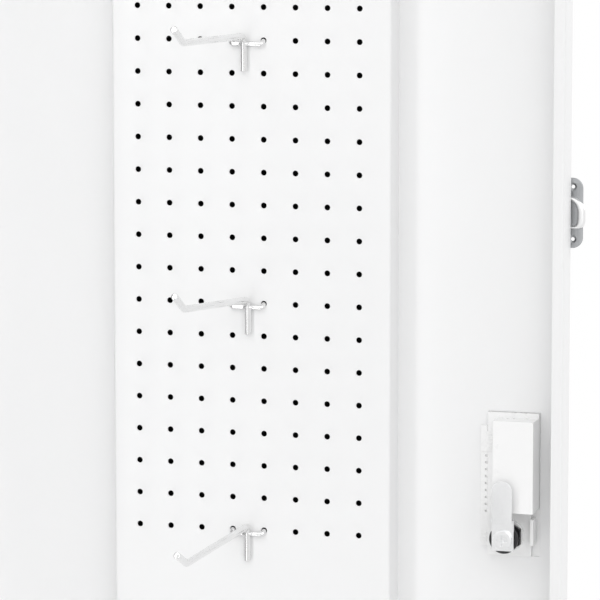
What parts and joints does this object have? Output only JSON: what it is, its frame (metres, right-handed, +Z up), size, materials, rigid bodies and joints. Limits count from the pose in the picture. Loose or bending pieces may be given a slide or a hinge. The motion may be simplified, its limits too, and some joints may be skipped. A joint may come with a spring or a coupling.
{
  "type": "jewelry armoire",
  "caption": "Tall white steel armoire with one hinged door, a perforated hook panel inside the door, wire hooks, a cam lock and fixed shelves.",
  "frame": {"origin": "centre of the flat underside of the cabinet, without the door's swing", "axes": "+Z up, -Y out of the front, +X towards the hinge side"},
  "size_m": [0.5419, 1.0397, 1.4],
  "materials": {
    "white_paint": "smooth white powder coat, slightly satin",
    "zinc_plate": "zinc-plated steel, satin grey",
    "bright_chrome": "bright plated steel",
    "white_plastic": "moulded white plastic",
    "black_barrel": "black threaded barrel",
    "black_rubber": "soft black rubber"
  },
  "bodies": {
    "cabinet": {"base_tray": "white_paint", "floor_panel": "white_paint", "left_side": "white_paint", "right_side": "white_paint", "back_panel": "white_paint", "top_panel": "white_paint", "top_rail": "white_paint", "lock_stile": "white_paint", "stop_strip": "white_paint", "hinge_stile": "white_paint", "lower_shelf": "white_paint", "middle_shelf": "white_paint", "upper_shelf": "white_paint", "shelf_brackets": "white_paint", "frame_screws": "zinc_plate", "stop_buffers": "black_rubber", "lower_hinge_frame_leaf": "white_paint", "lower_hinge_pin": "zinc_plate", "middle_hinge_frame_leaf": "white_paint", "middle_hinge_pin": "zinc_plate", "upper_hinge_frame_leaf": "white_paint", "upper_hinge_pin": "zinc_plate"},
    "door": {"lower_hinge_door_leaf": "white_paint", "middle_hinge_door_leaf": "white_paint", "upper_hinge_door_leaf": "white_paint", "door_pan": "white_paint", "perforated_panel": "white_paint", "panel_channels": "white_paint", "top_hook": "bright_chrome", "middle_hook": "bright_chrome", "bottom_hook": "bright_chrome", "lock_housing": "white_plastic", "lock_clips": "white_plastic", "lock_barrel": "black_barrel", "barrel_nut": "black_barrel", "stop_plate": "zinc_plate", "plate_spacer": "zinc_plate", "plate_rivets": "zinc_plate", "keeper_ring": "bright_chrome"},
    "lock": {"lock_plug": "bright_chrome", "lock_cam": "bright_chrome", "cam_screw": "bright_chrome", "key": "bright_chrome"}
  },
  "joints": [
    {"name": "door_hinge", "type": "hinge", "parent": "cabinet", "child": "door", "pos_m": [0.248, -0.2695, 0.71], "axis": [0, 0, 1], "range_deg": [-90, 90]},
    {"name": "lock_turn", "type": "hinge", "parent": "door", "child": "lock", "pos_m": [0.2185, -0.7188, 0.663], "axis": [1, 0, 0], "range_deg": [0, 90]}
  ]
}
